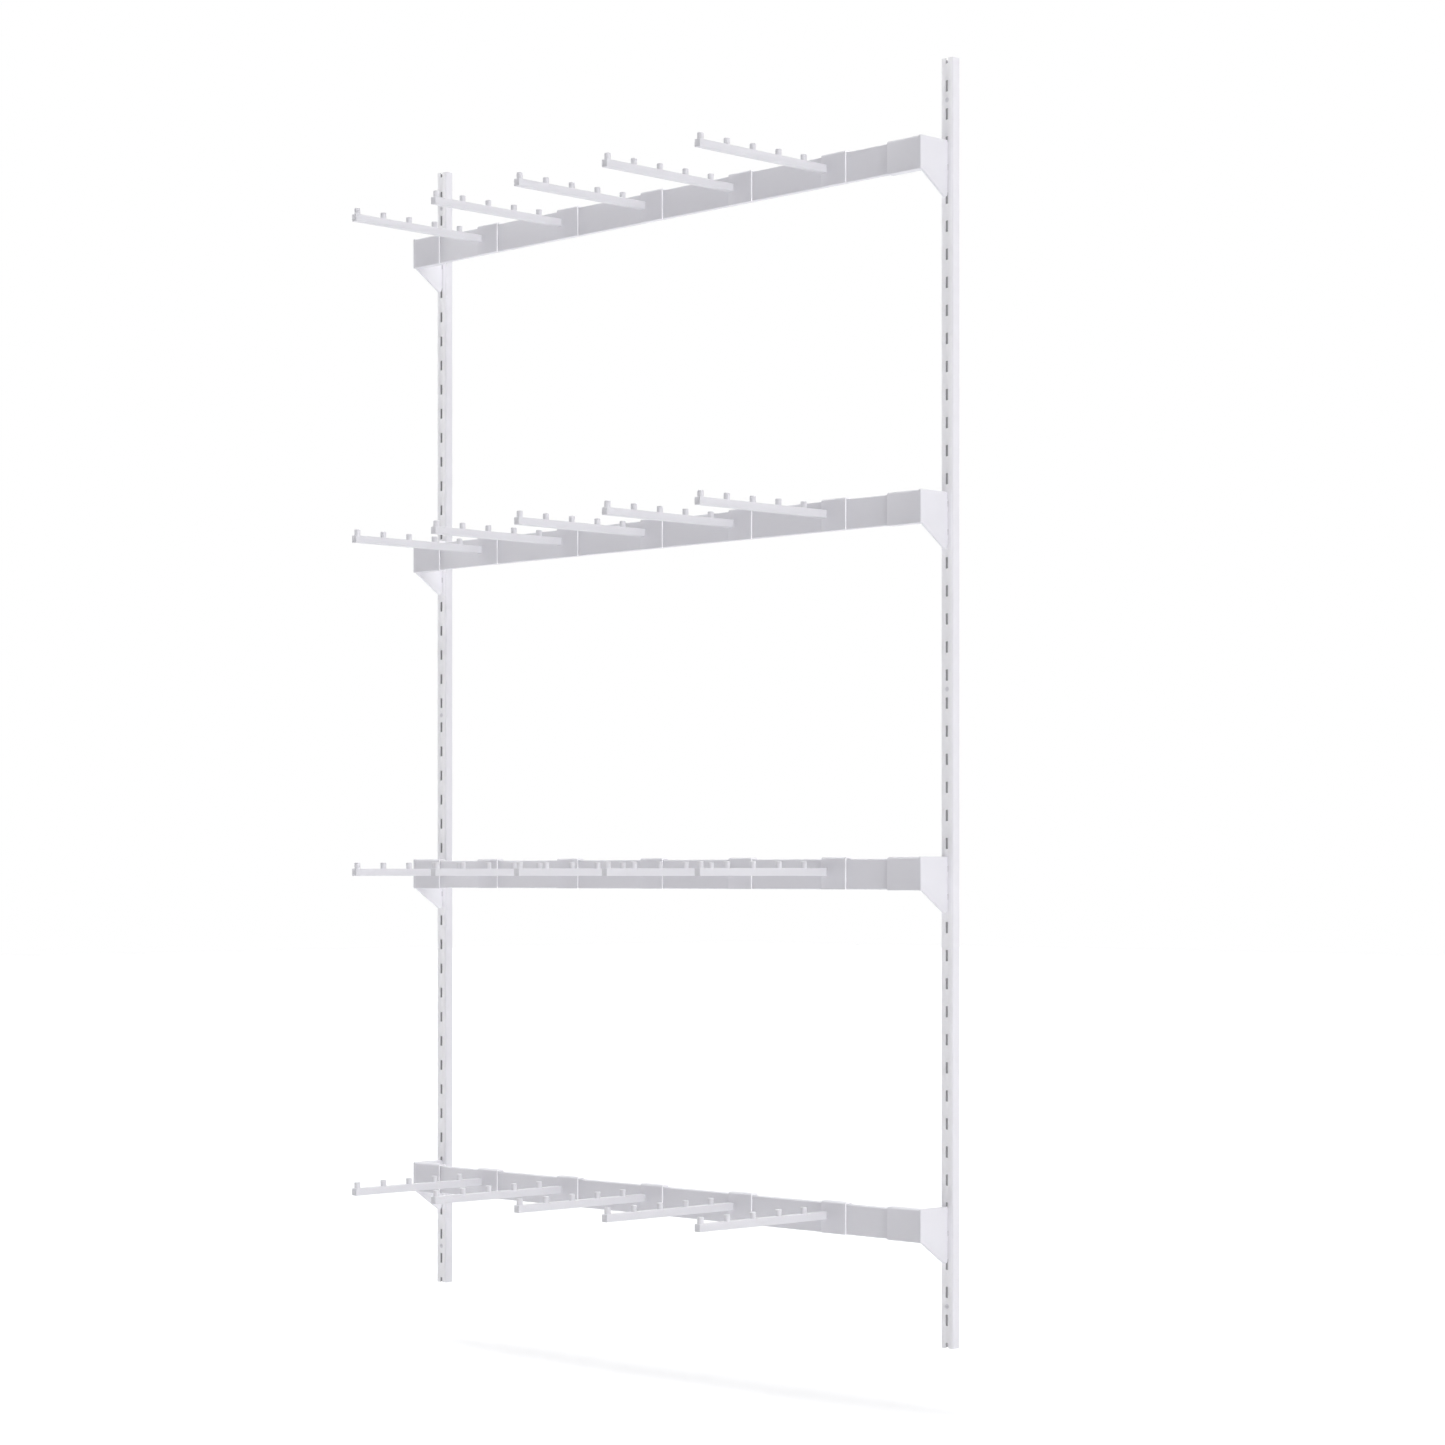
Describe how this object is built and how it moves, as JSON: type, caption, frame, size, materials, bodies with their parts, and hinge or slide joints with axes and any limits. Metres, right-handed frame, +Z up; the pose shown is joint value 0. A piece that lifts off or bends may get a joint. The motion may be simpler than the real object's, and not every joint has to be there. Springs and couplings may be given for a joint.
{
  "type": "wall-mounted garment display rack",
  "caption": "Wall rack for hanging garments: slotted uprights, hook-in brackets, flat rails, and arms with hanger pins that slide along the rails on hooked saddles.",
  "frame": {"origin": "on the wall plane, midway between the uprights and level with their lower ends", "axes": "+X along the rails to the viewer's right, +Y into the wall, +Z up along the uprights"},
  "size_m": [1.428, 0.411, 2.3],
  "materials": {
    "upright_coat": "satin white powder coat on folded sheet steel",
    "screw_coat": "satin white lacquer on steel",
    "bracket_coat": "satin white powder coat on welded sheet steel",
    "rail_coat": "satin white powder coat on steel tube",
    "saddle_coat": "satin white powder coat on bent sheet steel",
    "arm_coat": "satin white powder coat on square steel bar"
  },
  "bodies": {
    "frame": {"upright_left": "upright_coat", "upright_right": "upright_coat", "wall_screw_left_1": "screw_coat", "wall_screw_left_2": "screw_coat", "wall_screw_left_3": "screw_coat", "wall_screw_right_1": "screw_coat", "wall_screw_right_2": "screw_coat", "wall_screw_right_3": "screw_coat", "bracket_left_1": "bracket_coat", "bracket_left_2": "bracket_coat", "bracket_left_3": "bracket_coat", "bracket_left_4": "bracket_coat", "bracket_right_1": "bracket_coat", "bracket_right_2": "bracket_coat", "bracket_right_3": "bracket_coat", "bracket_right_4": "bracket_coat", "rail_1": "rail_coat", "rail_2": "rail_coat", "rail_3": "rail_coat", "rail_4": "rail_coat"},
    "sliding_arm_1_1": {"saddle_1_1": "saddle_coat", "arm_1_1": "arm_coat"},
    "sliding_arm_1_2": {"saddle_1_2": "saddle_coat", "arm_1_2": "arm_coat"},
    "sliding_arm_1_3": {"saddle_1_3": "saddle_coat", "arm_1_3": "arm_coat"},
    "sliding_arm_1_4": {"saddle_1_4": "saddle_coat", "arm_1_4": "arm_coat"},
    "sliding_arm_1_5": {"saddle_1_5": "saddle_coat", "arm_1_5": "arm_coat"},
    "sliding_arm_2_1": {"saddle_2_1": "saddle_coat", "arm_2_1": "arm_coat"},
    "sliding_arm_2_2": {"saddle_2_2": "saddle_coat", "arm_2_2": "arm_coat"},
    "sliding_arm_2_3": {"saddle_2_3": "saddle_coat", "arm_2_3": "arm_coat"},
    "sliding_arm_2_4": {"saddle_2_4": "saddle_coat", "arm_2_4": "arm_coat"},
    "sliding_arm_2_5": {"saddle_2_5": "saddle_coat", "arm_2_5": "arm_coat"},
    "sliding_arm_3_1": {"saddle_3_1": "saddle_coat", "arm_3_1": "arm_coat"},
    "sliding_arm_3_2": {"saddle_3_2": "saddle_coat", "arm_3_2": "arm_coat"},
    "sliding_arm_3_3": {"saddle_3_3": "saddle_coat", "arm_3_3": "arm_coat"},
    "sliding_arm_3_4": {"saddle_3_4": "saddle_coat", "arm_3_4": "arm_coat"},
    "sliding_arm_3_5": {"saddle_3_5": "saddle_coat", "arm_3_5": "arm_coat"},
    "sliding_arm_4_1": {"saddle_4_1": "saddle_coat", "arm_4_1": "arm_coat"},
    "sliding_arm_4_2": {"saddle_4_2": "saddle_coat", "arm_4_2": "arm_coat"},
    "sliding_arm_4_3": {"saddle_4_3": "saddle_coat", "arm_4_3": "arm_coat"},
    "sliding_arm_4_4": {"saddle_4_4": "saddle_coat", "arm_4_4": "arm_coat"},
    "sliding_arm_4_5": {"saddle_4_5": "saddle_coat", "arm_4_5": "arm_coat"}
  },
  "joints": [
    {"name": "slide_1_1", "type": "slide", "parent": "frame", "child": "sliding_arm_1_1", "axis": [1, 0, 0], "range_m": [-0.085, 0.085]},
    {"name": "slide_1_2", "type": "slide", "parent": "frame", "child": "sliding_arm_1_2", "axis": [1, 0, 0], "range_m": [-0.085, 0.085]},
    {"name": "slide_1_3", "type": "slide", "parent": "frame", "child": "sliding_arm_1_3", "axis": [1, 0, 0], "range_m": [-0.085, 0.085]},
    {"name": "slide_1_4", "type": "slide", "parent": "frame", "child": "sliding_arm_1_4", "axis": [1, 0, 0], "range_m": [-0.085, 0.085]},
    {"name": "slide_1_5", "type": "slide", "parent": "frame", "child": "sliding_arm_1_5", "axis": [1, 0, 0], "range_m": [-0.085, 0.085]},
    {"name": "slide_2_1", "type": "slide", "parent": "frame", "child": "sliding_arm_2_1", "axis": [1, 0, 0], "range_m": [-0.085, 0.085]},
    {"name": "slide_2_2", "type": "slide", "parent": "frame", "child": "sliding_arm_2_2", "axis": [1, 0, 0], "range_m": [-0.085, 0.085]},
    {"name": "slide_2_3", "type": "slide", "parent": "frame", "child": "sliding_arm_2_3", "axis": [1, 0, 0], "range_m": [-0.085, 0.085]},
    {"name": "slide_2_4", "type": "slide", "parent": "frame", "child": "sliding_arm_2_4", "axis": [1, 0, 0], "range_m": [-0.085, 0.085]},
    {"name": "slide_2_5", "type": "slide", "parent": "frame", "child": "sliding_arm_2_5", "axis": [1, 0, 0], "range_m": [-0.085, 0.085]},
    {"name": "slide_3_1", "type": "slide", "parent": "frame", "child": "sliding_arm_3_1", "axis": [1, 0, 0], "range_m": [-0.085, 0.085]},
    {"name": "slide_3_2", "type": "slide", "parent": "frame", "child": "sliding_arm_3_2", "axis": [1, 0, 0], "range_m": [-0.085, 0.085]},
    {"name": "slide_3_3", "type": "slide", "parent": "frame", "child": "sliding_arm_3_3", "axis": [1, 0, 0], "range_m": [-0.085, 0.085]},
    {"name": "slide_3_4", "type": "slide", "parent": "frame", "child": "sliding_arm_3_4", "axis": [1, 0, 0], "range_m": [-0.085, 0.085]},
    {"name": "slide_3_5", "type": "slide", "parent": "frame", "child": "sliding_arm_3_5", "axis": [1, 0, 0], "range_m": [-0.085, 0.085]},
    {"name": "slide_4_1", "type": "slide", "parent": "frame", "child": "sliding_arm_4_1", "axis": [1, 0, 0], "range_m": [-0.085, 0.085]},
    {"name": "slide_4_2", "type": "slide", "parent": "frame", "child": "sliding_arm_4_2", "axis": [1, 0, 0], "range_m": [-0.085, 0.085]},
    {"name": "slide_4_3", "type": "slide", "parent": "frame", "child": "sliding_arm_4_3", "axis": [1, 0, 0], "range_m": [-0.085, 0.085]},
    {"name": "slide_4_4", "type": "slide", "parent": "frame", "child": "sliding_arm_4_4", "axis": [1, 0, 0], "range_m": [-0.085, 0.085]},
    {"name": "slide_4_5", "type": "slide", "parent": "frame", "child": "sliding_arm_4_5", "axis": [1, 0, 0], "range_m": [-0.085, 0.085]}
  ]
}
